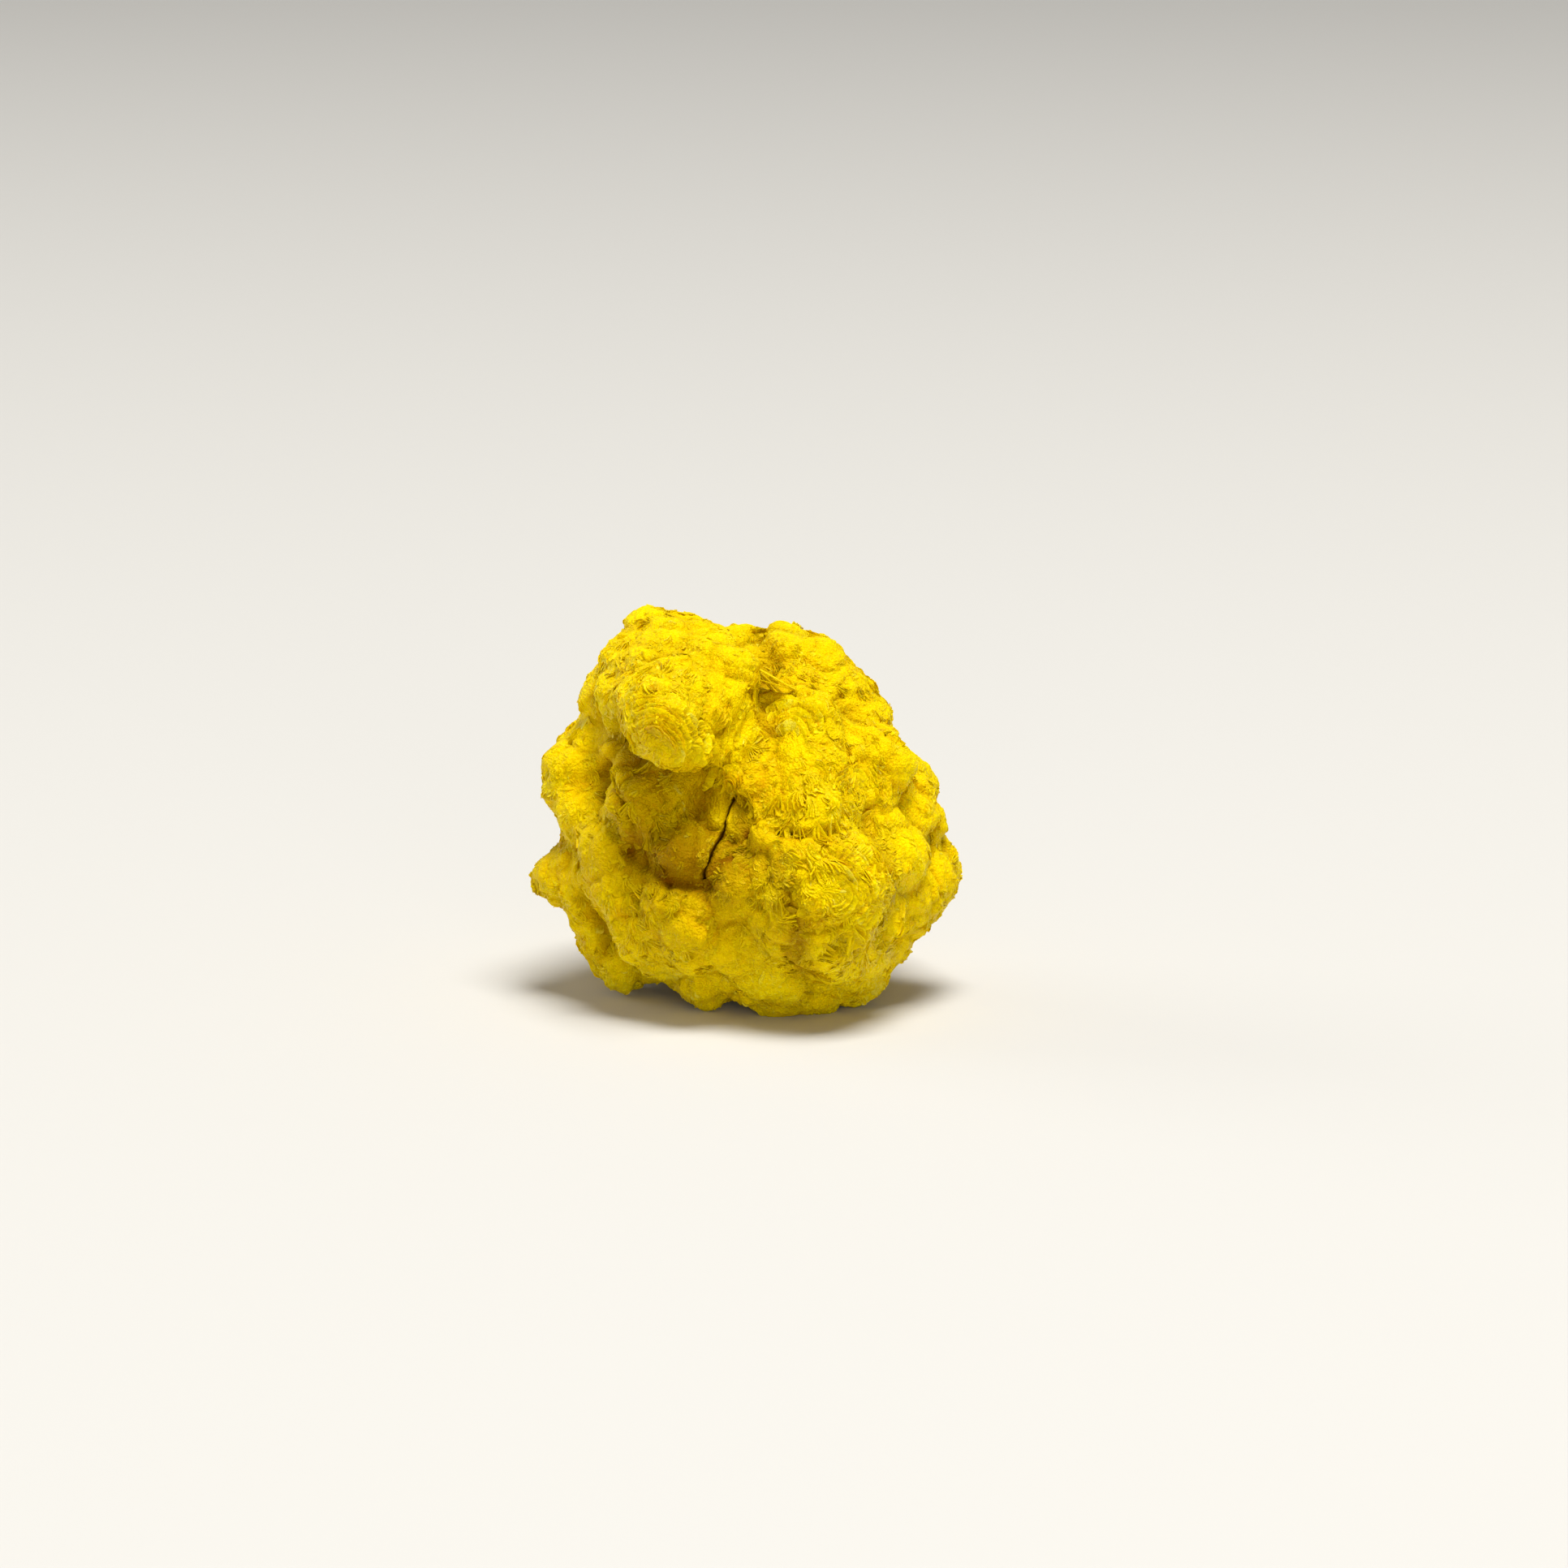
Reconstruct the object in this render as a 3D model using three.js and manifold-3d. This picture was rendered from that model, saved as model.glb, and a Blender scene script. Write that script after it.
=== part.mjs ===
// A globular cluster of vanuralite, a yellow uranium vanadate that grows as thin plates.
// The plates are packed on edge into rounded lobes, and the lobes have grown into one another.
// Millimetres, +Z up, the front faces -Y, and the origin is the middle of the footprint.
import * as THREE from "three";
import { ImprovedNoise } from "three/addons/math/ImprovedNoise.js";
import { mergeVertices } from "three/addons/utils/BufferGeometryUtils.js";
import Module from "manifold-3d";

// ---- Driving dimensions ----
const LEAN = THREE.MathUtils.degToRad(13); // how far the cluster leans back on its base
const MIDDLE_HEIGHT = 3.68; // height of the cluster's middle over the surface it rests on
const MASS_DETAIL = 14; // subdivisions of the icosahedron that the mass is grown from
const BLEND = 0.08; // how softly a lobe runs into its neighbours
const BASE_BAND = 0.6; // height over the floor that the tablets keep clear of
const SWELLS = [
  { span: 0.9, height: 0.16 }, // broad swells of the surface
  { span: 0.4, height: 0.1 }, // the lumps on them
];

// Lobes as [across to the right, up, out to the front, radius], from the cluster's middle.
const LOBES = {
  core: [
    [0.2, -0.4, -0.5, 2.95],
    [-0.9, 1.2, -0.4, 2.15],
    [0.9, -0.9, -0.1, 2.5],
    [-1.3, -0.7, -0.4, 2.05],
    [-0.8, -1.8, -0.2, 1.7],
    [0.8, 1.1, -0.5, 2.0],
  ],
  head: [
    [-1.15, 1.85, 0.6, 1.65],
    [-2.0, 2.3, 0.1, 1.05],
    [-1.95, 3.42, 0.2, 0.46],
    [-1.45, 3.2, 0.3, 0.68],
    [-0.9, 3.0, 0.1, 0.72],
    [-2.5, 2.2, 0.3, 0.55],
    [-0.4, 2.1, 1.0, 1.05],
    [-0.15, 2.95, -0.2, 0.6],
    [-2.25, 1.2, 0.9, 0.7],
  ],
  knob: [
    [-1.4, 1.55, 1.95, 0.98],
    [-1.75, 2.15, 1.6, 0.7],
  ],
  leftFlank: [
    [-2.95, 1.0, -0.3, 0.72],
    [-3.52, 0.95, -0.2, 0.36],
    [-3.2, 0.45, -0.1, 0.64],
    [-2.85, -0.15, 0.1, 0.7],
    [-3.6, -1.2, -0.5, 0.52],
    [-3.05, -0.9, -0.2, 0.7],
    [-2.9, -1.6, -0.2, 0.76],
    [-2.4, -0.7, 0.9, 0.8],
    [-2.2, -1.5, 1.1, 0.75],
    [-2.5, -2.3, -0.5, 0.72],
  ],
  hollow: [
    [-1.85, 0.3, 1.6, 0.92],
    [-0.75, 0.75, 1.6, 0.68],
    [-1.15, -0.65, 1.75, 0.72],
  ],
  foot: [
    [-1.35, -1.8, 1.7, 0.72],
    [-1.9, -2.2, 0.9, 0.8],
    [-2.3, -2.87, -0.9, 0.7],
    [-1.6, -2.7, 0.3, 0.55],
    [-0.8, -2.3, 1.4, 0.95],
    [-0.8, -3.08, 0.1, 0.76],
  ],
  cheek: [
    [1.2, -1.5, 1.4, 1.8],
    [1.25, 0.0, 1.95, 0.85],
    [-0.1, -1.3, 2.1, 0.75],
    [0.55, -0.5, 2.2, 0.72],
    [2.35, -1.4, 1.6, 0.78],
    [2.0, -2.4, 1.1, 0.85],
    [0.95, -3.0, 0.6, 0.95],
    [0.1, -2.85, 0.9, 0.85],
    [-0.08, 0.55, 2.15, 0.38],
    [1.4, -2.1, 2.05, 0.9],
  ],
  shoulder: [
    [1.05, 2.5, -0.3, 1.0],
    [0.55, 3.2, -0.3, 0.46],
    [2.15, 1.8, -0.2, 0.66],
    [1.15, 1.7, 0.9, 0.88],
    [1.15, 1.0, 1.6, 0.7],
    [2.3, 0.85, 0.8, 0.85],
    [2.4, 1.2, -0.4, 0.7],
  ],
  rim: [
    [2.8, 0.5, -0.2, 0.6],
    [2.95, 0.0, 0.0, 0.68],
    [3.15, -0.5, -0.1, 0.7],
    [3.2, -1.15, -0.2, 0.82],
    [2.7, -0.8, 0.9, 0.78],
    [2.95, -1.8, 0.2, 0.78],
    [2.6, -2.3, 0.2, 0.72],
    [1.85, -2.75, 0.2, 0.88],
  ],
  heel: [
    [2.0, -2.5, -1.6, 0.95],
    [0.1, -2.55, -1.9, 0.95],
    [-1.7, -2.3, -1.9, 0.85],
  ],
};
// The back: lobes spread over it by the golden angle, from just behind the middle to the far end.
const BACK = { count: 22, reach: 2.65, radius: 0.8, spread: 0.25, nearest: 0.2, depth: 0.78 };
// Swellings and hollows of the front, as [across, up, radius, height].
const RELIEF = {
  knob: [-1.45, 1.75, 0.95, 0.26],
  underKnob: [-1.15, 0.1, 0.85, -0.48],
  besideKnob: [-2.05, 0.45, 0.55, -0.28],
  besideCrack: [-0.35, 0.0, 0.35, -0.2],
  ledge: [1.3, -0.05, 0.55, 0.12],
  behindHead: [0.85, 2.35, 0.4, -0.12],
};
// The crack between the recessed lobe and the cheek, as an [across, up] line, its opening, how far
// out it starts and how far in front of the surface its cutter stands.
const CRACK = { top: [-0.24, 0.22], bottom: [-0.8, -1.28], width: 0.09, floor: 1.9, reach: 2 };
// Fans of tablets that stand on edge in the surface: how many fans, and the tablets of each.
const FANS = { count: 38, tablets: 3, gap: 0.19, opening: 0.22, radius: 0.46, thickness: 0.1, proud: 0.13 };
const KNOB_FAN = { tablets: 10, gap: 0.19, opening: 0.16, radius: 0.6, thickness: 0.1, proud: 0.15 };
const KNOB_FAN_WAY = { outward: [0.05, 0.15, 1], facing: [0.75, -0.66, 0] };
const TABLET_SIDES = 6;
const TABLET_TAPER = 0.92; // its back face over its front face
const END_TABLET_LOSS = 0.25; // how much smaller the end tablets of a fan are
const WANDER = { span: 1.6, turn: 4 }; // how the plates' facing wanders: span, and most turn
const OUTWARD_BLEND = 0.3; // how widely the lobes are averaged to find the way out
const FAR_OUT = 6; // a reach that lies outside every lobe

// ---- Geometry ----
const wasm = await Module();
wasm.setup();
const noise = new ImprovedNoise();

// A point given across, up and out from the middle, in the part's frame.
function placed(across, up, out) {
  return new THREE.Vector3(
    across,
    up * Math.sin(LEAN) - out * Math.cos(LEAN),
    up * Math.cos(LEAN) + out * Math.sin(LEAN) + MIDDLE_HEIGHT,
  );
}

// The way, from the middle, that a lobe or fan of a golden-angle spiral lies at a given depth.
function spiral(index, depth) {
  const turn = index * Math.PI * (3 - Math.sqrt(5));
  const ring = Math.sqrt(1 - depth * depth);
  return [ring * Math.cos(turn), ring * Math.sin(turn), depth];
}

function backLobes() {
  const made = [];
  for (let i = 0; i < BACK.count; i++) {
    const way = spiral(i, -BACK.nearest - (BACK.depth * (i + 0.5)) / BACK.count);
    const radius = BACK.radius * (1 + BACK.spread * Math.cos(i * 1.7));
    made.push([...way.map((share) => share * BACK.reach), radius]);
  }
  return made;
}

const middle = placed(0, 0, 0);
const upward = placed(0, 1, 0).sub(middle);
const forward = placed(0, 0, 1).sub(middle);
const lobes = [...Object.values(LOBES).flat(), ...backLobes()].map(([across, up, out, radius]) => ({
  centre: placed(across, up, out),
  radius,
}));

// Height over the blended lobes at a point: below zero inside them.
function heightAt(point) {
  let sum = 0;
  for (const { centre, radius } of lobes) {
    sum += Math.exp((radius - point.distanceTo(centre)) / BLEND);
  }
  return -BLEND * Math.log(sum);
}

// How much the front swells or sinks at a point, falling off from the middle of each form.
function reliefAt(point) {
  const gone = point.clone().sub(middle);
  const up = gone.dot(upward);
  const facing = THREE.MathUtils.clamp((3 * gone.dot(forward)) / gone.length() + 0.6, 0, 1);
  let sum = 0;
  for (const [x, y, radius, height] of Object.values(RELIEF)) {
    sum += height * Math.exp(-((gone.x - x) ** 2 + (up - y) ** 2) / radius ** 2);
  }
  return sum * facing;
}

// The cluster's outermost surface along a direction from its middle.
function surfaceAlong(direction) {
  const point = new THREE.Vector3();
  const closeEnough = 1e-3;
  let reach = FAR_OUT;
  let height = Infinity;
  while (height > closeEnough) {
    point.copy(direction).multiplyScalar(reach).add(middle);
    height = heightAt(point);
    reach -= height;
  }
  reach += reliefAt(point);
  for (const swell of SWELLS) {
    const place = point.clone().divideScalar(swell.span);
    reach += swell.height * noise.noise(place.x, place.y, place.z);
  }
  return point.copy(direction).multiplyScalar(reach).add(middle);
}

// A closed three.js geometry as a manifold-3d solid.
function solid(geometry) {
  geometry.deleteAttribute("normal");
  geometry.deleteAttribute("uv");
  const merged = mergeVertices(geometry, 1e-4);
  return new wasm.Manifold(
    new wasm.Mesh({
      numProp: 3,
      vertProperties: merged.attributes.position.array,
      triVerts: new Uint32Array(merged.index.array),
    }),
  );
}

// The grown mass: an icosphere drawn onto the cluster's surface.
function mass() {
  const geometry = new THREE.IcosahedronGeometry(1, MASS_DETAIL);
  const position = geometry.attributes.position;
  const direction = new THREE.Vector3();
  for (let i = 0; i < position.count; i++) {
    direction.fromBufferAttribute(position, i).normalize();
    position.setXYZ(i, ...surfaceAlong(direction).toArray());
  }
  return solid(geometry);
}

// The way out of the surface at a point.
function outwardAt(point) {
  const away = new THREE.Vector3();
  const shifted = new THREE.Vector3();
  for (const { centre, radius } of lobes) {
    shifted.subVectors(point, centre);
    const weight = Math.exp((radius - shifted.length()) / OUTWARD_BLEND);
    away.addScaledVector(shifted.normalize(), weight);
  }
  return away.normalize();
}

// A tablet standing on edge: its face looks along `facing` and its rim stands proud.
function tablet(point, outward, facing, { radius, thickness, proud }) {
  const up = outward.clone();
  const normal = facing.clone().addScaledVector(up, -facing.dot(up)).normalize();
  const side = new THREE.Vector3().crossVectors(normal, up);
  const centre = point.clone().addScaledVector(up, proud - radius);
  const turn = new THREE.Matrix4().makeBasis(side, normal, up).setPosition(centre);
  const geometry = new THREE.CylinderGeometry(radius, radius * TABLET_TAPER, thickness, TABLET_SIDES);
  return solid(geometry.applyMatrix4(turn));
}

// The direction that the plates at a point face, which wanders over the cluster.
function facingAt(point, outward) {
  const side = new THREE.Vector3().crossVectors(outward, upward).normalize();
  const place = point.clone().divideScalar(WANDER.span);
  return side.applyAxisAngle(outward, WANDER.turn * noise.noise(place.x, place.y, place.z));
}

// A fan of tablets side by side along `facing`, opening away from one another.
function fan(point, outward, facing, shape) {
  const hinge = new THREE.Vector3().crossVectors(facing, outward).normalize();
  const made = [];
  for (let i = 0; i < shape.tablets; i++) {
    const place = i - (shape.tablets - 1) / 2;
    const beside = point.clone().addScaledVector(facing, place * shape.gap);
    const at = surfaceAlong(beside.sub(middle).normalize());
    const up = outward.clone().applyAxisAngle(hinge, -place * shape.opening);
    const radius = shape.radius * (1 - (END_TABLET_LOSS * Math.abs(place)) / shape.tablets);
    if (at.z > BASE_BAND) made.push(tablet(at, up, facing, { ...shape, radius }));
  }
  return made;
}

function fans() {
  const made = [];
  for (let i = 0; i < FANS.count; i++) {
    const way = spiral(i, 1 - (2 * (i + 0.5)) / FANS.count);
    const point = surfaceAlong(new THREE.Vector3(...way));
    const outward = outwardAt(point);
    const radius = FANS.radius * (1 + 0.25 * Math.sin(i * 2.9));
    made.push(...fan(point, outward, facingAt(point, outward), { ...FANS, radius }));
  }
  return made;
}

// The wide fan that crosses the knob, its tablets like the leaves of a book.
function knobFan() {
  const [across, up, out, radius] = LOBES.knob[0];
  const outward = placed(...KNOB_FAN_WAY.outward).sub(middle).normalize();
  const facing = placed(...KNOB_FAN_WAY.facing).sub(middle).normalize();
  const tip = placed(across, up, out).addScaledVector(outward, radius);
  const point = surfaceAlong(tip.sub(middle).normalize());
  return fan(point, outward, facing, KNOB_FAN);
}

// The crack, as a slender four-sided lens of space that runs in from the front.
function crack() {
  const top = placed(...CRACK.top, 0);
  const bottom = placed(...CRACK.bottom, 0);
  const along = bottom.clone().sub(top);
  const side = new THREE.Vector3().crossVectors(along, forward).normalize();
  const centre = top.clone().add(bottom).multiplyScalar(0.5);
  centre.addScaledVector(forward, CRACK.floor + CRACK.reach / 2);
  const turn = new THREE.Matrix4()
    .makeBasis(side.multiplyScalar(-CRACK.width / 2), forward, along.multiplyScalar(0.5))
    .setPosition(centre);
  return solid(new THREE.CylinderGeometry(1, 1, CRACK.reach, 4).applyMatrix4(turn));
}

// Everything under the resting surface, to be cut away.
function underfloor() {
  const size = 4 * FAR_OUT;
  return solid(new THREE.BoxGeometry(size, size, size).translate(0, 0, -size / 2));
}

function cluster() {
  const grown = [...fans(), ...knobFan()].reduce((whole, one) => whole.add(one), mass());
  return grown.subtract(crack()).subtract(underfloor());
}

// A manifold-3d solid as a three.js geometry.
function geometryOf(made) {
  const mesh = made.getMesh();
  return new THREE.BufferGeometry()
    .setAttribute("position", new THREE.BufferAttribute(mesh.vertProperties, 3))
    .setIndex(new THREE.BufferAttribute(mesh.triVerts, 1));
}

// ---- The part ----
const yellow = new THREE.MeshStandardMaterial({ color: "#e6c400", roughness: 0.6, metalness: 0 });
const geometry = geometryOf(cluster());
const box = new THREE.Box3().setFromBufferAttribute(geometry.getAttribute("position"));
const middleOfBox = box.getCenter(new THREE.Vector3());
geometry.translate(-middleOfBox.x, -middleOfBox.y, 0);
geometry.computeVertexNormals();
const specimen = new THREE.Mesh(geometry, yellow);
specimen.name = "vanuralite_cluster";

const part = new THREE.Group();
part.add(specimen);
export default part;
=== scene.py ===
import math

import bmesh
import bpy
import numpy as np
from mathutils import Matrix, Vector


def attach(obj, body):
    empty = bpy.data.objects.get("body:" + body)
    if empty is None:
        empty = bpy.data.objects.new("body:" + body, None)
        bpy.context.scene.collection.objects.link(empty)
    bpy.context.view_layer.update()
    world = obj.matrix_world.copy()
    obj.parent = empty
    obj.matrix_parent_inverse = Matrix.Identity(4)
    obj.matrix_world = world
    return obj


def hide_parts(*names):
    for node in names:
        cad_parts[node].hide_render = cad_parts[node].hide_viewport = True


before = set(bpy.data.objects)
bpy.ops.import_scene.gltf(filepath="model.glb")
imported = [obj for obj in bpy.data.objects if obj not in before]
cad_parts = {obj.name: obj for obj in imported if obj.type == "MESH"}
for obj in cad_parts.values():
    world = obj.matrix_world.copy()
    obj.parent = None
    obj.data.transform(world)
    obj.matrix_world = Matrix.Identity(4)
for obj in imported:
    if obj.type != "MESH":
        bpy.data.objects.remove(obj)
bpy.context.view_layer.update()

# ---- Camera, floor and light ----
# The cluster stands on a plain pale floor and leans back 13 degrees. The camera looks down by
# that angle from about 126 mm away, through a long lens, so the cluster's front faces it.
MM = 0.001
LEAN = math.radians(13)
MIDDLE = np.array([0.015, 0.024, 3.68])
RIGHT = np.array([1.0, 0.0, 0.0])
UP = np.array([0.0, math.sin(LEAN), math.cos(LEAN)])
OUT = np.array([0.0, -math.cos(LEAN), math.sin(LEAN)])
CAMERA_OUT, CAMERA_ACROSS, CAMERA_UP = 126.3, 0.726, 0.510
LENS_MM, SENSOR_MM = 150.4, 36.0

camera = bpy.data.objects.new("camera", bpy.data.cameras.new("camera"))
bpy.context.scene.collection.objects.link(camera)
camera.location = (MIDDLE + OUT * CAMERA_OUT + RIGHT * CAMERA_ACROSS + UP * CAMERA_UP) * MM
camera.rotation_euler = (math.pi / 2 - LEAN, 0, 0)
camera.data.lens, camera.data.sensor_width = LENS_MM, SENSOR_MM
camera.data.clip_start, camera.data.clip_end = 5 * MM, 5
bpy.context.scene.camera = camera


def linear(code):
    """An sRGB hex colour as linear red, green, blue and a full alpha."""
    values = [int(code[i : i + 2], 16) / 255 for i in (1, 3, 5)]
    turned = [v / 12.92 if v <= 0.04045 else ((v + 0.055) / 1.055) ** 2.4 for v in values]
    return (*turned, 1.0)


def material(name):
    """A new material with its node tree, and the tree's Principled shader."""
    made = bpy.data.materials.new(name)
    made.use_nodes = True
    return made, made.node_tree.nodes["Principled BSDF"]


# The floor is a square of matt pale paper, so it takes a soft shadow and gives no shine.
FLOOR_HALF = 0.6
corners = [(-1, -1), (1, -1), (1, 1), (-1, 1)]
floor_mesh = bpy.data.meshes.new("floor")
floor_mesh.from_pydata([(x * FLOOR_HALF, y * FLOOR_HALF, 0) for x, y in corners], [], [(0, 1, 2, 3)])
floor = bpy.data.objects.new("floor", floor_mesh)
bpy.context.scene.collection.objects.link(floor)
paper, paper_shader = material("matt_paper")
paper_shader.inputs["Base Color"].default_value = linear("#d2cfc8")
paper_shader.inputs["Roughness"].default_value = 0.9
floor_mesh.materials.append(paper)


def softbox(name, place, width, power):
    """A square light of a width in metres and a power in watts, turned to the cluster's middle."""
    lamp = bpy.data.objects.new(name, bpy.data.lights.new(name, "AREA"))
    lamp.data.size, lamp.data.energy = width, power
    lamp.location = place
    towards = Vector(MIDDLE * MM) - lamp.location
    lamp.rotation_euler = towards.to_track_quat("-Z", "Y").to_euler()
    bpy.context.scene.collection.objects.link(lamp)


softbox("key", (0.035, -0.05, 0.28), 0.12, 1.03)
softbox("fill", (0.04, -0.32, 0.02), 0.20, 0.42)
softbox("rim", (-0.22, 0.10, 0.08), 0.15, 0.16)
world = bpy.data.worlds.new("studio")
world.use_nodes = True
world.node_tree.nodes["Background"].inputs["Color"].default_value = linear("#f4f4f4")
world.node_tree.nodes["Background"].inputs["Strength"].default_value = 0.21
bpy.context.scene.world = world
bpy.context.scene.view_settings.view_transform = "Standard"

# ---- The grown mass ----
# Massive vanuralite, the filling between the plates: a compact yellow body in rounded lobes that
# grew against each other, with a crack through it. It is the cluster's own solid, drawn finer:
# every lobe swells to a rounded pillow, and leans over the next one on the side it grew towards.
VOXEL = 0.109
SOFTENING = 9
# Sizes are in millimetres, and a place is given as across, up and out from the middle. This is how
# high a lobe swells and leans, how far the whole is drawn in for it, and how sharply lobes meet.
PILLOW, LEANING, INSET, MERGE = 0.26, 0.16, 0.09, 15
# Every lobe grew away from this place, give or take.
CROWN = (-0.4, 3.4, 0.3)
CROWN_SPREAD = 0.7
# Each lobe on the front: how far across and up its middle lies, and its radius.
FRONT_LOBES = [
    (-2.02, 2.48, 0.62), (-1.43, 2.80, 0.42), (-0.98, 2.50, 0.40), (-1.30, 1.75, 0.75),
    (-2.25, 1.75, 0.50), (-0.85, 1.25, 0.45), (-1.80, 1.15, 0.45), (-3.46, 0.99, 0.60),
    (-3.27, 0.19, 0.62), (-2.65, 0.72, 0.26), (-2.66, 1.12, 0.24), (-1.95, 0.45, 0.40),
    (-1.25, 0.40, 0.42), (-2.36, 3.20, 0.50), (-2.80, 2.37, 0.42), (-1.45, 3.45, 0.50),
    (-0.75, 3.40, 0.50), (-0.15, 3.05, 0.50), (-0.41, 2.30, 0.55), (-0.12, 1.45, 0.50),
    (0.02, 0.58, 0.34), (-0.36, 0.62, 0.26), (0.70, 3.20, 0.50), (1.50, 3.00, 0.60),
    (2.04, 2.53, 0.50), (2.50, 2.02, 0.50), (1.26, 2.06, 0.48), (0.79, 2.27, 0.26),
    (0.74, 1.78, 0.36), (1.41, 1.62, 0.44), (1.00, 1.10, 0.50), (1.65, 1.05, 0.50),
    (2.25, 1.38, 0.50), (2.95, 1.00, 0.55), (0.45, 0.62, 0.34), (1.05, 0.52, 0.40),
    (2.04, 0.55, 0.46), (2.75, 0.30, 0.50), (3.34, 0.20, 0.50), (1.45, 0.00, 0.55),
    (-3.80, -1.10, 0.58), (-1.90, -1.05, 0.50), (-2.88, -0.72, 0.60), (-2.60, -1.45, 0.68),
    (-2.10, -0.50, 0.28), (-2.00, -0.05, 0.50), (-1.15, -0.70, 0.66), (-1.56, -1.62, 0.42),
    (-0.28, -1.45, 0.55), (-0.95, -1.85, 0.36), (-2.23, -2.40, 0.62), (-1.14, -2.30, 0.62),
    (-2.44, -3.15, 0.50), (-1.60, -3.00, 0.45), (-0.72, -3.50, 0.50), (-0.28, -2.70, 0.60),
    (0.24, -0.45, 0.30), (0.35, -1.20, 0.50), (0.37, -2.10, 0.60), (0.40, -3.20, 0.60),
    (1.10, -0.75, 0.52), (1.35, -1.70, 0.60), (1.80, -0.85, 0.45), (2.45, -0.75, 0.50),
    (2.25, -1.70, 0.60), (2.75, -1.35, 0.45), (1.30, -2.60, 0.55), (2.15, -2.45, 0.55),
    (1.55, -3.20, 0.50), (3.30, -0.70, 0.60), (3.45, -1.60, 0.55), (2.90, -2.15, 0.45),
]
# Lobes on the sides and back: their least and greatest radius, how many places are tried for
# them, and how near two may lie as a share of their radii.
SIDE_LOBES, SIDE_TRIES, LOBE_GAP = (0.26, 0.85), 900, 0.72
# Where a lobe is higher than the next by less than this, the crevice between them shows: it is sunk a
# little and darkened with painted shade.
CREVICE = 0.12
# The crack as a falling line. It is sunk straight in by its depth, and its lips are drawn
# together by a share that fades out over its reach to either side.
CRACK = [(-0.24, 0.20), (-0.42, -0.35), (-0.60, -0.75), (-0.82, -1.30)]
CRACK_WIDTH, CRACK_DEPTH, CRACK_CLOSING, CRACK_REACH = 0.045, 0.35, 0.65, 0.1
# Valleys between lobes: width, depth, how much brown painted shade they lay on, and the places
# that they run through. The first is the crack, and the others without depth are painted shade only.
VALLEYS = [
    (CRACK_WIDTH, 0.0, 1.3, CRACK),
    (0.14, 0.16, 0.30,
     [(0.22, 3.55), (0.50, 2.90), (0.52, 2.10), (0.42, 1.50), (0.10, 1.05), (-0.10, 0.80)]),
    (0.20, 0.16, 0.90, [(-2.25, -0.80), (-1.85, -1.18), (-1.40, -1.33), (-0.85, -1.42)]),
    (0.13, 0.22, 0.40, [(-3.15, -1.65), (-2.85, -2.13), (-2.68, -2.75)]),
    (0.12, 0.18, 0.35, [(-2.62, 1.55), (-2.80, 0.75), (-2.55, 0.30), (-2.20, -0.20)]),
    (0.17, 0.34, 0.50, [(-2.50, 1.30), (-2.30, 0.98), (-1.80, 0.80), (-1.10, 0.66), (-0.60, 0.72)]),
    (0.55, 0.05, 0.52, [(-2.10, 0.45), (-0.60, 0.30)]),
    (0.50, 0.00, 0.45, [(-1.50, -0.60), (-0.70, -0.40)]),
    (0.13, 0.18, 0.35, [(0.45, -0.35), (1.05, -0.42), (1.70, -0.35)]),
    (0.16, 0.05, 0.80, [(-0.10, 0.15), (-0.15, -0.30), (0.00, -0.60)]),
    (0.30, 0.06, 0.70, [(0.45, -1.05), (0.75, -1.55), (0.95, -2.20), (1.00, -3.00)]),
    (0.12, 0.16, 0.30, [(2.30, -0.20), (2.60, -0.70), (2.95, -1.60), (2.60, -2.60)]),
    (0.10, 0.14, 0.50, [(1.55, -2.72), (1.75, -2.62)]),
    (0.09, 0.16, 0.60, [(1.85, -2.40), (2.15, -2.75)]),
    (0.80, 0.00, 0.30, [(-1.60, -2.20), (0.60, -2.30)]),
    (1.00, 0.00, 0.95, [(-1.80, -0.70), (-0.70, -1.00)]),
    (0.80, 0.00, 0.48, [(-1.10, 0.00), (-0.30, -0.90), (-0.60, -1.80)]),
]
# Forms that hang over what lies below them: across, up, radius and how far they hang. Every lobe
# also hangs the way that it grew, by a share of its height.
OVERHANGS = [(-1.30, 1.15, 0.60, 0.20), (1.20, 0.00, 0.50, 0.12), (-1.95, 0.05, 0.45, 0.10)]
LOBE_HANG = 0.35
# The low front lobes are flatter by this share, from this height down.
CALM, CALM_FROM = 0.45, -1.2
# Painted light: the thin lower edge is painted paler by this much from this height down, standing in for
# light that comes through it.
PAINTED_LIGHT_BELOW, PAINTED_LIGHT_FROM = 0.2, -2.2
# Clumps of plates on the lobes: how wide, how long and how high. Their edges are painted browner, as
# painted shade in the creases between them.
CLUMPS = [(0.42, 0.55, 0.19), (0.21, 0.30, 0.10)]
CLUMP_EDGE_SHADE = 0.32
# Uneven growth, as a span and a height: bends of the lobes' borders, and bumps of the surface.
BENDS = [(0.5, 0.13), (0.13, 0.03)]
BUMPS = [(0.16, 0.016), (0.09, 0.01)]

rng = np.random.default_rng(11)
TABLE = rng.uniform(-1, 1, 1 << 16)
CORNERS = np.array([[x, y, z] for x in (0, 1) for y in (0, 1) for z in (0, 1)])


def drawn(cells, seed):
    """A random number from -1 to 1 for each whole-numbered cell, always the same for the same cell."""
    mixed = cells[..., 0] * 73856093 ^ cells[..., 1] * 19349663 ^ cells[..., 2] * 83492791
    return TABLE[(mixed ^ seed * 2654435761) & 0xFFFF]


def swell(points, span, seed):
    """Smooth noise from -1 to 1: numbers on the corners of cells, eased between by 3t^2 - 2t^3."""
    place = points / span
    low = np.floor(place).astype(np.int64)
    t = place - low
    t = t * t * (3 - 2 * t)
    total = np.zeros(len(points))
    for corner in CORNERS:
        share = np.prod(np.where(corner == 1, t, 1 - t), axis=1)
        total += share * drawn(low + corner, seed)
    return total


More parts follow.
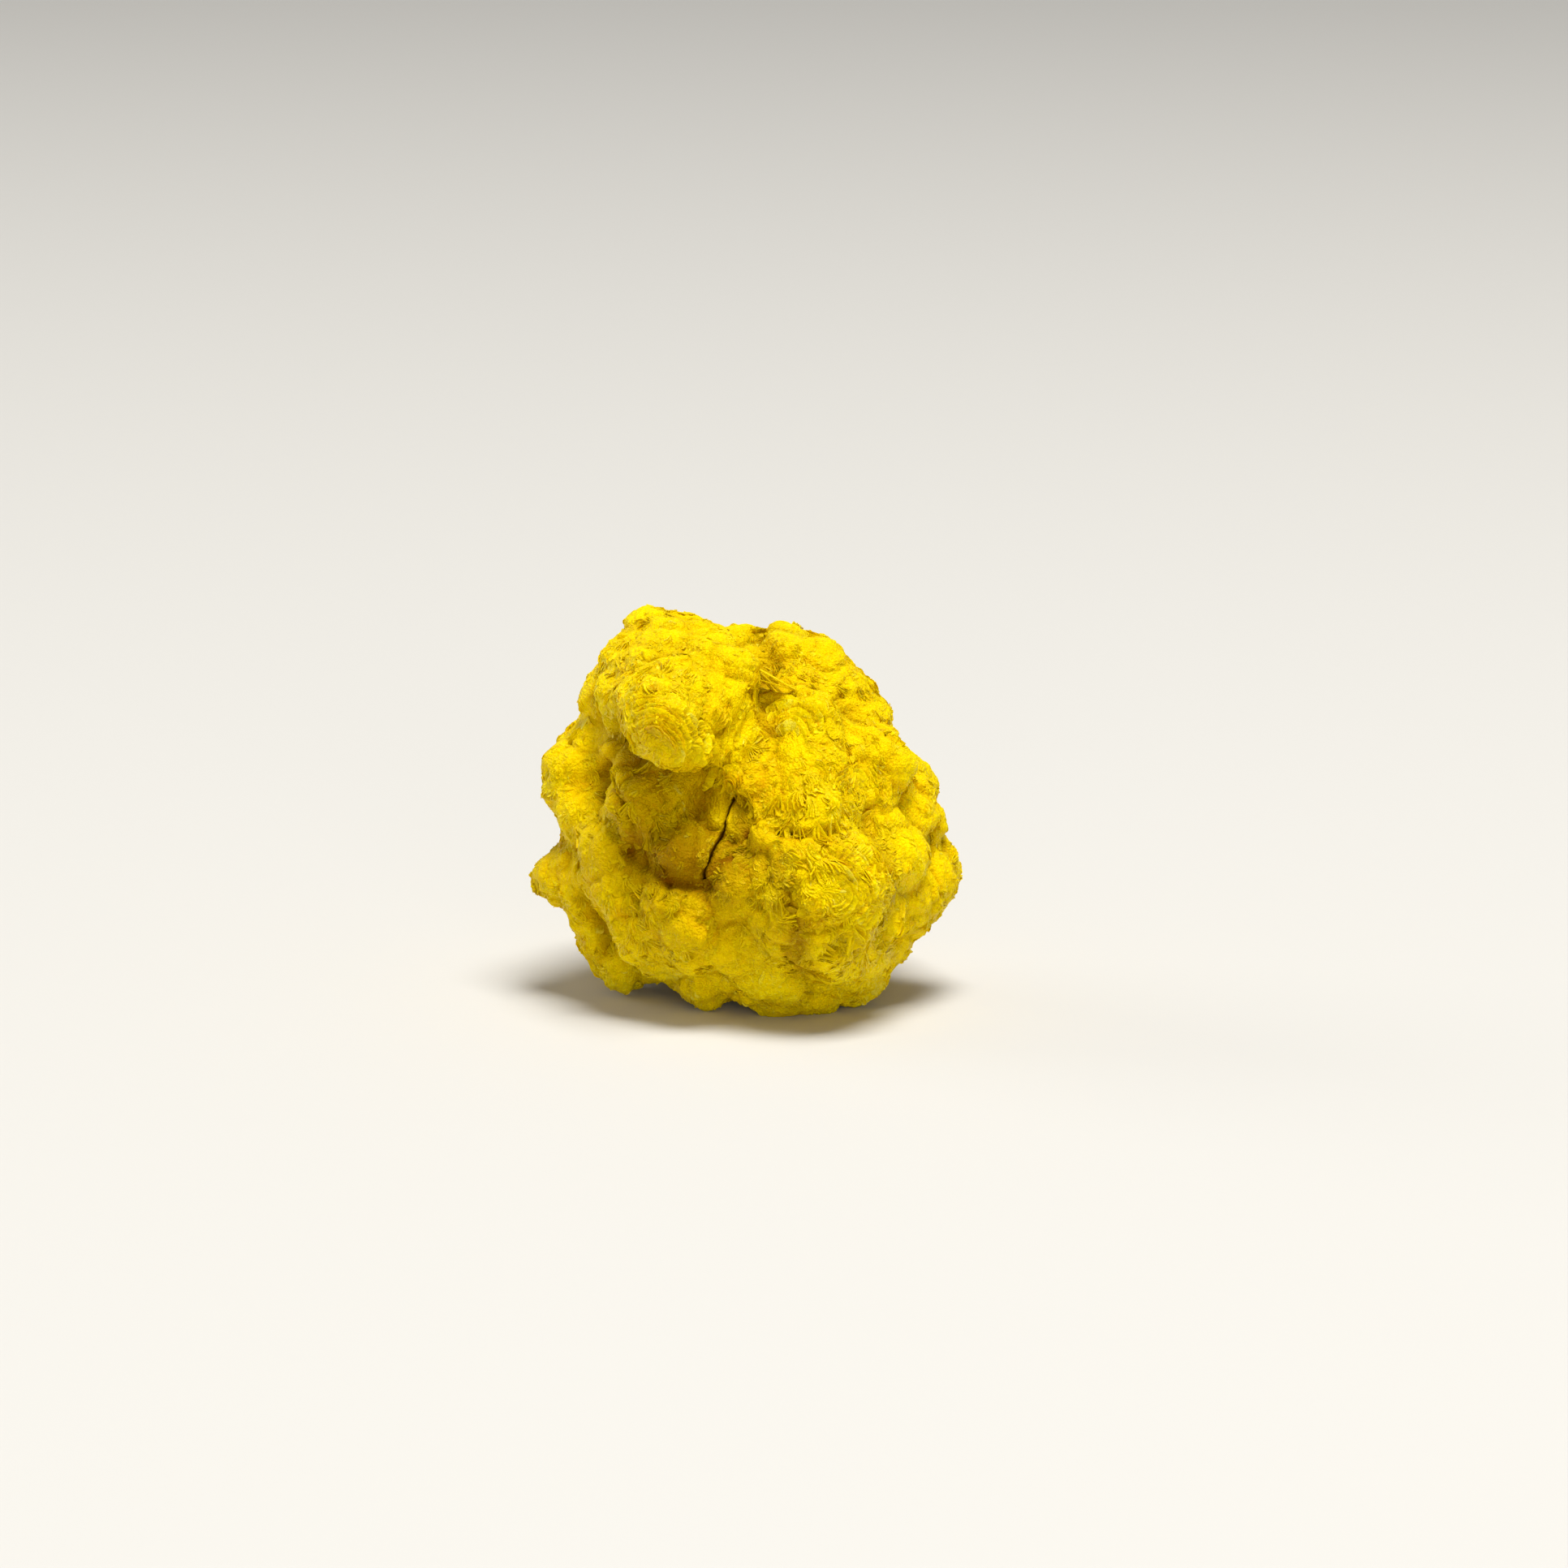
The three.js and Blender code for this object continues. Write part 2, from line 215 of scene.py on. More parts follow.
def settled(source):
    """A copy of a CAD node in millimetres, with its doubles merged, evenly meshed and softened."""
    whole = bmesh.new()
    whole.from_mesh(source.data)
    bmesh.ops.remove_doubles(whole, verts=whole.verts, dist=1e-7)
    bmesh.ops.scale(whole, vec=(1 / MM, 1 / MM, 1 / MM), verts=whole.verts)
    mesh = bpy.data.meshes.new("mass")
    whole.to_mesh(mesh)
    whole.free()
    made = bpy.data.objects.new("mass", mesh)
    bpy.context.scene.collection.objects.link(made)
    remesh = made.modifiers.new("even", "REMESH")
    remesh.mode, remesh.voxel_size = "VOXEL", VOXEL
    soften = made.modifiers.new("soften", "SMOOTH")
    soften.factor, soften.iterations = 0.5, SOFTENING
    finer = made.modifiers.new("finer", "SUBSURF")
    finer.levels = finer.render_levels = 1
    baked = bpy.data.meshes.new_from_object(made.evaluated_get(bpy.context.evaluated_depsgraph_get()))
    made.modifiers.clear()
    made.data = baked
    return made


def read(mesh, name):
    """A mesh's points ("co") or outward directions ("normal") as an array of rows."""
    flat = np.empty(len(mesh.vertices) * 3, np.float32)
    mesh.vertices.foreach_get(name, flat)
    return flat.reshape(-1, 3).astype(float)


def put(mesh, points):
    """Moves a mesh's points."""
    mesh.vertices.foreach_set("co", points.astype(np.float32).ravel())
    mesh.update()


def note(mesh, name, values):
    """Keeps a value for each of a mesh's points, a number or a vector."""
    kind, key = ("FLOAT", "value") if values.ndim == 1 else ("FLOAT_VECTOR", "vector")
    mesh.attributes.new(name, kind, "POINT").data.foreach_set(key, values.astype(np.float32).ravel())


def unit(vectors):
    """Vectors at a length of one."""
    return vectors / np.maximum(np.linalg.norm(vectors, axis=-1, keepdims=True), 1e-9)


def along(vectors, normals):
    """The part of vectors that lies in the surface, at a length of one."""
    return unit(vectors - normals * np.sum(vectors * normals, axis=-1, keepdims=True))


def seen(points):
    """How far across and up points appear from the front, and how far out they lie."""
    local = (points - MIDDLE) @ np.stack([RIGHT, UP, OUT], axis=1)
    nearness = CAMERA_OUT / (CAMERA_OUT - local[:, 2])
    offset = np.array([CAMERA_ACROSS, CAMERA_UP])
    return (local[:, :2] - offset) * nearness[:, None] + offset, local[:, 2]


def on_front(flat, points, normals):
    """Indices of the front's points nearest to places given as across and up."""
    sight, _ = seen(points)
    front = np.flatnonzero(normals @ OUT > 0.05)
    near = []
    for few in np.array_split(np.asarray(flat), len(flat) // 50 + 1):
        near.append(np.argmin(np.sum((sight[front][None] - few[:, None]) ** 2, axis=2), axis=1))
    return front[np.concatenate(near)]


def split_near(mesh, line, width):
    """Divides the front's faces along a line, given as across and up, into nine each."""
    points, normals = read(mesh, "co"), read(mesh, "normal")
    sight, _ = seen(points)
    close = from_line(sight, line) < width
    whole = bmesh.new()
    whole.from_mesh(mesh)
    chosen = set(np.flatnonzero(close & (normals @ OUT > 0)).tolist())
    edges = [e for e in whole.edges if e.verts[0].index in chosen and e.verts[1].index in chosen]
    bmesh.ops.subdivide_edges(whole, edges=edges, cuts=2, use_grid_fill=True)
    bmesh.ops.triangulate(whole, faces=[f for f in whole.faces if len(f.verts) > 4])
    whole.to_mesh(mesh)
    whole.free()


def from_line(sight, line):
    """Distance of places across and up to a line of straight runs."""
    nearest = np.full(len(sight), 9.0)
    for start, end in zip(np.array(line[:-1]), np.array(line[1:])):
        run = end - start
        part = np.clip((sight - start) @ run / (run @ run), 0, 1)
        nearest = np.minimum(nearest, np.linalg.norm(sight - start - part[:, None] * run, axis=1))
    return nearest


def beside_line(sight, line):
    """How far to the right of a falling line places lie, and 9 above and below its ends."""
    across, up = np.array(line[::-1]).T
    level = (sight[:, 1] > up[0]) & (sight[:, 1] < up[-1])
    return np.where(level, sight[:, 0] - np.interp(sight[:, 1], up, across), 9.0)


mass = settled(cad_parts["vanuralite_cluster"])
split_near(mass.data, CRACK, 4 * CRACK_WIDTH)
core, outward = read(mass.data, "co"), read(mass.data, "normal")
front_lobes = np.array(FRONT_LOBES)
lobe_at = list(core[on_front(front_lobes[:, :2], core, outward)])
lobe_radius = list(front_lobes[:, 2])
lobe_normal = list(outward[on_front(front_lobes[:, :2], core, outward)])
for spot in rng.permutation(len(core))[:SIDE_TRIES]:
    radius = rng.uniform(*SIDE_LOBES)
    gap = np.linalg.norm(np.array(lobe_at) - core[spot], axis=1)
    if (gap > LOBE_GAP * (np.array(lobe_radius) + radius)).all():
        lobe_at.append(core[spot])
        lobe_radius.append(radius)
        lobe_normal.append(outward[spot])
lobe_at, lobe_radius, lobe_normal = np.array(lobe_at), np.array(lobe_radius), np.array(lobe_normal)
crown = MIDDLE + CROWN[0] * RIGHT + CROWN[1] * UP + CROWN[2] * OUT
lobe_way = along(lobe_at - crown + rng.normal(0, CROWN_SPREAD, lobe_at.shape), lobe_normal)


def pillows(points):
    """Height of the lobes over the core, the lobe each point lies on, and how clear it is of others.

    A lobe of radius r rises by PILLOW * (r - d^2 / r) at a distance d from its middle, and leans
    by LEANING times the distance gone its own way; where lobes meet the higher one shows.
    """
    best = np.full(len(points), -9.0)
    second = np.full(len(points), -9.0)
    owner = np.zeros(len(points), int)
    total = np.zeros(len(points))
    for i, (at, radius, way) in enumerate(zip(lobe_at, lobe_radius, lobe_way)):
        gone = points - at
        height = PILLOW * (radius - np.sum(gone**2, axis=1) / radius) + LEANING * (gone @ way)
        total += np.exp(MERGE * height)
        over = height > best
        second = np.where(over, best, np.maximum(second, height))
        best, owner = np.where(over, height, best), np.where(over, i, owner)
    return np.log(total) / MERGE, owner, best - second


wavy = core.copy()
for seed, (span, height) in zip((21, 24), BENDS):
    wavy += height * np.stack([swell(core, span, seed + k) for k in range(3)], axis=1)
raised, lobe_of, clear = pillows(wavy)


def shaped(points, normals):
    """How high the valleys leave each point, how much painted shade they lay on it, and how near it is to
    the crack.

    A valley falls off as exp(-(d / width)^2) at a distance d from its line.
    """
    wander = 0.05 * np.stack([swell(points, 0.3, k) for k in (41, 42)], axis=1)
    sight, _ = seen(points)
    sight = sight + wander
    front = np.clip(normals @ OUT * 3 + 0.6, 0, 1)
    height, brown_shade, cleft = np.zeros(len(points)), np.zeros(len(points)), np.zeros(len(points))
    for width, depth, shade_tone, line in VALLEYS:
        cut = np.exp(-((from_line(sight, line) / width) ** 2))
        height -= depth * cut
        brown_shade = np.maximum(brown_shade, shade_tone * cut)
        if line is CRACK:
            cleft = cut * front
    return height * front, brown_shade * front, cleft


def clumped(lines, wide, long):
    """Clumps of plates in the body: distance to the nearest clump's middle, and how far along it.

    The clumps lie in a loose grid along the growth lines, so that they fan out as these do.
    """
    place = np.stack([lines[:, 0] / wide, lines[:, 1] / long], axis=1)
    cell = np.floor(place).astype(np.int64)
    which = np.round(lines[:, 2] * 10).astype(np.int64)
    nearest, past = np.full(len(lines), 9.0), np.zeros(len(lines))
    for step in [(x, y) for x in (-1, 0, 1) for y in (-1, 0, 1)]:
        there = cell + step
        key = np.concatenate([there, which[:, None]], axis=1)
        spot = there + 0.5 + 0.4 * np.stack([drawn(key, 51), drawn(key, 52)], axis=1)
        gone = place - spot
        gap = np.linalg.norm(gone, axis=1)
        closer = gap < nearest
        nearest, past = np.where(closer, gap, nearest), np.where(closer, gone[:, 1], past)
    return nearest, past


hollows, brown_shade, cleft = shaped(core, outward)
# A lobe's growth lines open out from its heart. A point's place on them is how far it lies across
# them and how far along, and a number that sets its lobe apart.
heart = lobe_at - lobe_way * lobe_radius[:, None] * 0.6
fibre = np.stack(
    [
        np.sum((wavy - lobe_at[lobe_of]) * np.cross(lobe_normal, lobe_way)[lobe_of], axis=1),
        np.linalg.norm(wavy - heart[lobe_of], axis=1),
        lobe_of * 1.7,
    ],
    axis=1,
)
fibre[:, 0] /= 0.6 + fibre[:, 1]
crevice = np.exp(-((clear / CREVICE) ** 2))
sight, _ = seen(core)
calm = 1 - CALM * np.clip((CALM_FROM - sight[:, 1]) / 0.8, 0, 1) * (outward @ OUT > 0)
raised = np.maximum(raised, -0.2) * calm + hollows
relief = raised - INSET - 0.015 * crevice
for wide, long, high in CLUMPS:
    gap, past = clumped(fibre, wide, long)
    relief += high * (0.35 - 0.8 * gap**2 + 0.15 * past)
    # Painted shade: the creases at the clumps' edges are painted browner.
    brown_shade += CLUMP_EDGE_SHADE * np.clip(gap - 0.4, 0, 1)
for seed, (span, height) in enumerate(BUMPS, 8):
    relief += height * swell(core, span, seed)
skin = core + outward * relief[:, None]
skin += lobe_way[lobe_of] * (LOBE_HANG * np.clip(raised, 0, 0.3))[:, None]
for across, up, radius, hang in OVERHANGS:
    near = np.exp(-np.sum((sight - (across, up)) ** 2, axis=1) / radius**2) * (outward @ OUT > 0)
    skin -= UP * (hang * near)[:, None]
beside = beside_line(sight, CRACK)
skin -= OUT * (CRACK_DEPTH * cleft)[:, None]
drawn_in = CRACK_CLOSING * beside * np.exp(-((beside / CRACK_REACH) ** 2)) * (outward @ OUT > -0.3)
skin -= RIGHT * drawn_in[:, None]
skin[:, 2] = np.maximum(skin[:, 2], 0)
put(mass.data, skin * MM)
skin_normal = read(mass.data, "normal")
# Painted shade: brown is mixed in where the surface lies low, in the crevices between lobes, and along
# the valleys and the crack.
painted_shade = 0.3 * np.clip(0.1 - raised * 2, 0, 1) + 0.2 * crevice * np.clip(0.7 - raised * 4, 0, 1)
painted_shade = np.clip(painted_shade + 0.8 * brown_shade, 0, 1)
grown = along(skin - heart[lobe_of], skin_normal)
note(mass.data, "painted_shade", painted_shade)
note(mass.data, "fibre", fibre)
# Painted light: the low lobes are painted paler, through the tint that the mass, plates and fans carry.
pale = PAINTED_LIGHT_BELOW * np.clip(PAINTED_LIGHT_FROM - sight[:, 1], 0, 1)
note(mass.data, "tint", 0.5 + pale)
note(mass.data, "clear", np.clip(clear / CREVICE, 0, 1))

# The ramp's colours, from ochre up; the palest is the painted highlight on glinting plate edges. The
# brown is painted shade, mixed in where the surface lies in hollows.
OCHRE, YELLOW, LIGHT_YELLOW, PALE = "#dca300", "#f4ce00", "#ffe200", "#ffee4c"
SHADE_BROWN = "#784400"
# In millimetres: the gap between growth lines, the grain and the patches of colour. Single plates
# are a hundredth or two thick, too fine to show, so the lines and the grain are drawn coarser.
FIBRE_GAP, GRAIN, PATCH = 0.035, 0.06, 0.9


def add_node(tree, kind, settings, links):
    """A node of a kind, with its settings and its inputs, each a value or another node's output."""
    made = tree.nodes.new(kind)
    for name, value in settings.items():
        setattr(made, name, value)
    for name, value in links.items():
        if isinstance(value, bpy.types.NodeSocket):
            tree.links.new(value, made.inputs[name])
        else:
            made.inputs[name].default_value = value
    return made


def vanuralite(name, roughness, shine, softness, bump):
    """Vanuralite as it grew, broken nowhere: lemon to orange-yellow, waxy to pearly.

    Thin plates let light through, so it looks soft and bright for a mineral, with a broad dull
    shine tinted yellow. Its colour runs from ochre to pale yellow in patches, and the pale yellow
    on the free edges of single plates is a painted highlight. In the hollows it is darkened with
    painted shade. Fine lines follow the way that it grew, and a grain of plate ends roughens it.
    Roughness, shine, softness and bump set one finish apart from another.
    """
    made, shader = material(name)
    tree = made.node_tree
    painted_shade_in = add_node(tree, "ShaderNodeAttribute", {"attribute_name": "painted_shade"}, {})
    tint_in = add_node(tree, "ShaderNodeAttribute", {"attribute_name": "tint"}, {})
    fibre_in = add_node(tree, "ShaderNodeAttribute", {"attribute_name": "fibre"}, {})
    spot = add_node(tree, "ShaderNodeTexCoord", {}, {}).outputs["Object"]
    stretched = add_node(
        tree,
        "ShaderNodeVectorMath",
        {"operation": "MULTIPLY"},
        {0: fibre_in.outputs["Vector"], 1: (1 / FIBRE_GAP, 2.5, 1.0)},
    )
    lines = add_node(
        tree, "ShaderNodeTexNoise", {}, {"Vector": stretched.outputs[0], "Scale": 1.0, "Detail": 3.0}
    )
    clear_in = add_node(tree, "ShaderNodeAttribute", {"attribute_name": "clear"}, {})
    kept = add_node(
        tree,
        "ShaderNodeMath",
        {"operation": "MULTIPLY"},
        {0: lines.outputs["Fac"], 1: clear_in.outputs["Fac"]},
    )
    grains = add_node(
        tree, "ShaderNodeTexVoronoi", {}, {"Vector": spot, "Scale": 1 / (GRAIN * MM), "Detail": 1.0}
    )
    texture = add_node(
        tree,
        "ShaderNodeMath",
        {"operation": "MULTIPLY_ADD"},
        {0: grains.outputs["Distance"], 1: -1.0, 2: kept.outputs[0]},
    )
    patches = add_node(
        tree, "ShaderNodeTexNoise", {}, {"Vector": spot, "Scale": 1 / (PATCH * MM), "Detail": 5.0}
    )
    mixed = add_node(
        tree,
        "ShaderNodeMath",
        {"operation": "MULTIPLY_ADD"},
        {0: patches.outputs["Fac"], 1: 1.1, 2: tint_in.outputs["Fac"]},
    )
    mottled = add_node(
        tree,
        "ShaderNodeMath",
        {"operation": "MULTIPLY_ADD"},
        {0: texture.outputs[0], 1: 0.5, 2: mixed.outputs[0]},
    )
    shade = add_node(
        tree, "ShaderNodeMath", {"operation": "MULTIPLY_ADD"}, {0: mottled.outputs[0], 1: 0.4, 2: 0.25}
    )
    light = add_node(tree, "ShaderNodeValToRGB", {}, {"Fac": shade.outputs[0]})
    ramp = light.color_ramp.elements
    ramp[0].position, ramp[0].color = 0.35, linear(OCHRE)
    ramp[1].position, ramp[1].color = 1.0, linear(PALE)
    for position, code in ((0.55, YELLOW), (0.76, LIGHT_YELLOW)):
        ramp.new(position).color = linear(code)
    # Painted shade: the colour is mixed towards brown in the hollows and crevices.
    painted_shade_mix = add_node(
        tree,
        "ShaderNodeMix",
        {"data_type": "RGBA"},
        {0: painted_shade_in.outputs["Fac"], 6: light.outputs["Color"], 7: linear(SHADE_BROWN)},
    )
    tree.links.new(painted_shade_mix.outputs[2], shader.inputs["Base Color"])
    relief_in = add_node(
        tree,
        "ShaderNodeBump",
        {},
        {"Height": texture.outputs[0], "Strength": bump, "Distance": 0.04 * MM},
    )
    tree.links.new(relief_in.outputs["Normal"], shader.inputs["Normal"])
    shader.inputs["Roughness"].default_value = roughness
    shader.inputs["IOR"].default_value = 1.7
    shader.inputs["Specular Tint"].default_value = linear("#ffcc20")
    shader.inputs["Specular IOR Level"].default_value = shine
    shader.inputs["Subsurface Weight"].default_value = softness
    shader.inputs["Subsurface Radius"].default_value = (1.0, 1.0, 0.3)
    shader.inputs["Subsurface Scale"].default_value = 0.1 * MM
    return made


mass.data.materials.clear()
mass.data.materials.append(vanuralite("massive_vanuralite", 0.55, 0.12, 0.45, 0.8))
mass.data.shade_smooth()
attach(mass, "root")
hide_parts("vanuralite_cluster")

# ---- The plates ----
# Vanuralite plates: bent sheets of crystal a hundredth or two of a millimetre thick, packed like
# shingles over every lobe, each with a ragged free edge on the side that it grew towards. They
# lie low on the smooth lobes, and lift and grow larger where the growth was coarse.
PLATES = 4200
COLUMNS = 5
# A plate's middling length and width, and how far the logarithms of such sizes spread.
PLATE_LENGTH, PLATE_WIDTH, SIZE_SPREAD = 0.17, 0.14, 0.3
# How proud of the mass the low plates stand, and how thick they are.
PLATE_PROUD, PLATE_THICK = (0.003, 0.014), (0.008, 0.018)
# How far a plate is rooted in the mass, and the least step that its outline may take.
ROOT_DEPTH, THINNEST = 0.03, 0.001
# How near to the crack and to the floor a root may lie.
CRACK_ROOM, FLOOR_ROOM = 0.13, 0.1
# The share of plates whose free edge is painted pale as a painted highlight, and how pale.
PAINTED_GLINT_SHARE, PAINTED_GLINT = 0.045, 0.5
# The knob, where skins take the place of many plates: across, up and radius.
KNOB = (-1.45, 1.65, 0.85)
# Where the growth is coarse: across, up, radius and how coarse.
COARSE = [
    (-1.55, 1.80, 0.95, 0.8), (1.75, -1.20, 1.30, 1.0), (1.20, 0.15, 0.70, 0.8),
    (-2.50, 2.90, 0.60, 0.6), (2.20, -2.40, 0.80, 0.8), (2.00, 0.75, 0.60, 0.5),
    (-0.20, 1.50, 0.60, 0.5), (0.80, 2.60, 0.50, 0.4), (-2.50, -2.10, 1.10, 0.4),
    (-3.30, 0.40, 0.80, 0.4), (-1.60, -0.20, 0.90, 0.45), (-0.70, -2.60, 0.90, 0.3),
]


def laid(points):
    """Each point moved to the nearest place on the mass, by a shrinkwrap."""
    cloud = bpy.data.meshes.new("laid")
    cloud.vertices.add(points.size // 3)
    put(cloud, points.reshape(-1, 3) * MM)
    holder = bpy.data.objects.new("laid", cloud)
    bpy.context.scene.collection.objects.link(holder)
    wrap = holder.modifiers.new("wrap", "SHRINKWRAP")
    wrap.target, wrap.wrap_method = mass, "NEAREST_SURFACEPOINT"
    moved = holder.evaluated_get(bpy.context.evaluated_depsgraph_get()).to_mesh()
    found = read(moved, "co") / MM
    bpy.data.objects.remove(holder)
    bpy.data.meshes.remove(cloud)
    return found.reshape(points.shape)


def sheets(name, near, far, notes):
    """Thin closed sheets as one mesh, from the grids of points of their two sides.

    A grid runs over the sheets, then up each one and then across it. The two sides are joined by
    a rim of faces round the edge. The notes are grids of a value for each point of one side. A
    sheet that would reach the floor, or that is folded to nothing somewhere, is left out.
    """
    points = np.stack([near, far], axis=1)
    gaps = np.linalg.norm(np.diff(points, axis=3), axis=-1)
    kept = (points[..., 2].min(axis=(1, 2, 3)) > 0) & (gaps.min(axis=(1, 2, 3)) > THINNEST)
    points = points[kept]
    count, _, rows, columns = points.shape[:4]
    front, back = np.arange(2 * rows * columns).reshape(2, rows, columns)
    faces = []
    for side, turn in ((front, -1), (back, 1)):
        corners = [side[:-1, :-1], side[:-1, 1:], side[1:, 1:], side[1:, :-1]]
        faces.append(np.stack([c.ravel() for c in corners[::turn]], axis=1))
    edge = [(0, c) for c in range(columns)] + [(r, columns - 1) for r in range(1, rows)]
    edge += [(rows - 1, c) for c in range(columns - 2, -1, -1)]
    edge += [(r, 0) for r in range(rows - 2, 0, -1)]
    rim = np.array([[front[here], back[here]] for here in edge])
    following = np.roll(rim, -1, axis=0)
    faces.append(np.stack([rim[:, 0], following[:, 0], following[:, 1], rim[:, 1]], axis=1))
    faces = np.concatenate(faces)
    every = faces[None] + np.arange(count)[:, None, None] * points[0, ..., 0].size
    mesh = bpy.data.meshes.new(name)
    mesh.from_pydata(points.reshape(-1, 3) * MM, [], every.reshape(-1, 4).tolist())
    note(mesh, "clear", np.ones(points.size // 3))
    for label, values in notes.items():
        values = values[kept]
        note(mesh, label, np.stack([values, values], axis=1).reshape(-1, *values.shape[3:]))
    made = bpy.data.objects.new(name, mesh)
    bpy.context.scene.collection.objects.link(made)
    made.data.materials.append(finish)
    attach(made, "root")


def coarseness(points, normals):
    """From 0, smooth lobes of fine scales, to 1, coarse plates on edge."""
    sight, _ = seen(points)
    total = np.clip(0.25 + 0.8 * swell(points, 1.1, 61), 0, 1) * (normals @ OUT < 0.2)
    for across, up, radius, strength in COARSE:
        gone = np.sum((sight - (across, up)) ** 2, axis=1) / radius**2
        total = np.maximum(total, strength * np.exp(-(gone**2)) * (normals @ OUT > -0.2))
    return total


def nearness(points, spots):
    """How near points appear from the front to any of some spots, as exp(-(d / radius)^2)."""
    sight, _ = seen(points)
    total = np.zeros(len(points))
    for across, up, radius in spots:
        total = np.maximum(total, np.exp(-np.sum((sight - (across, up)) ** 2, axis=1) / radius**2))
    return total


def column(values):
    """Values for each sheet, ready to spread over its grid."""
    return values[:, None, None]


def vector(values):
    """Vectors for each sheet, ready to spread over its grid."""
    return values[:, None, None, :]


def turned(vectors, axes, angles):
    """Vectors turned about unit axes they are square to."""
    return vectors * np.cos(angles)[:, None] + np.cross(axes, vectors) * np.sin(angles)[:, None]


def clear_of_crack(grids):
    """Which grids of points, one for each sheet, lie on one side of the crack."""
    sight, _ = seen(grids.reshape(-1, 3))
    beside = beside_line(sight, CRACK).reshape(len(grids), -1)
    return (beside.min(axis=1) > 0.02) | (beside.max(axis=1) < -0.02)


# Single plates are smooth and pearly on their flat sides, so they shine more than the body does.
finish = vanuralite("platy_vanuralite", 0.4, 0.25, 0.35, 0.4)
sight, _ = seen(skin)
beside_crack = (from_line(sight, CRACK) < CRACK_ROOM) & (skin_normal @ OUT > 0)
usable = np.flatnonzero((skin[:, 2] > FLOOR_ROOM) & ~beside_crack)
knob = nearness(skin[usable], [KNOB]) * (skin_normal[usable] @ OUT > 0.2)
chance = np.where(knob > 0.4, 0.6, 1.0)
site = rng.choice(usable, PLATES, replace=False, p=chance / chance.sum())
at, up = skin[site], skin_normal[site]
coarse = coarseness(at, up)
way = turned(grown[site], up, 1.0 * swell(at, 0.6, 71) + rng.normal(0, 0.3, PLATES))
side = np.cross(up, way)
length = np.exp(rng.normal(math.log(PLATE_LENGTH), SIZE_SPREAD, PLATES)) * (1 + 0.7 * coarse)
width = np.exp(rng.normal(math.log(PLATE_WIDTH), SIZE_SPREAD, PLATES)) * (1 + 0.6 * coarse)
proud = rng.uniform(*PLATE_PROUD, PLATES) + 0.045 * coarse * rng.uniform(0, 1, PLATES) ** 2
thick = rng.uniform(*PLATE_THICK, PLATES)
ragged = rng.normal(0, 0.07, (PLATES, COLUMNS))
# Across a plate u runs from -1 to 1, and v runs from its root at 0 to its free edge at 1. Its
# length falls off with u^2 to a rounded and ragged edge, and it rises evenly with v from its root
# in the mass to its proud height, which falls off with u^2 too, so that it is bent.
u = np.linspace(-1, 1, COLUMNS)[None, None, :]
v = np.linspace(0, 1, 2)[None, :, None]
reach = column(length) * (v * (1 - 0.3 * u**2 + v * ragged[:, None, :]) - 0.5)
across = column(width) / 2 * u * (0.75 + 0.25 * v)
foot = laid(vector(at) + vector(way) * reach[..., None] + vector(side) * across[..., None])
lift = (column(proud) * (1 - 0.6 * u**2) + ROOT_DEPTH) * v - ROOT_DEPTH - 0.012 * u**2
lift = lift + across * column(rng.normal(0, 0.08, PLATES))
tint = np.clip(rng.normal(0.48, 0.10, PLATES), 0, 1)
# Painted highlight: the free edges of a few plates are painted pale.
painted_glint = np.where(rng.uniform(size=PLATES) < PAINTED_GLINT_SHARE, PAINTED_GLINT, 0.0)
notes = {
    "tint": column(tint + pale[site]) + column(painted_glint) * v + 0 * u,
    # Painted shade: each plate is painted browner towards its root in the mass.
    "painted_shade": np.clip(column(painted_shade[site] * 0.8) + 0.10 * (1 - v) + 0 * u, 0, 1),
    "fibre": np.stack([across, reach, np.broadcast_to(column(tint) * 90, reach.shape)], axis=-1),
}
near, far = (foot + vector(up) * (lift + column(thick) * k)[..., None] for k in (0.5, -0.5))
mine = clear_of_crack(foot)
sheets("plates", near[mine], far[mine], {name: grid[mine] for name, grid in notes.items()})

# ---- Fans of plates ----
# Where plates grew side by side they open out from one root like a fan, each a long sliver of
# crystal that leans on the next, with its free edge outwards. In the crumbly streak of the
# cheek they are broken small and lie every way. They are kept as a few meshes of like size.
FANS, BLADES, FAN_PARTS = 2600, 8, 4
BLADE_COLUMNS = 4
BLADE_LENGTH = 0.24
# How proud of the mass the low fans stand, and half the thickness of their blades.
BLADE_PROUD, BLADE_HALF = (0.004, 0.018), (0.005, 0.011)
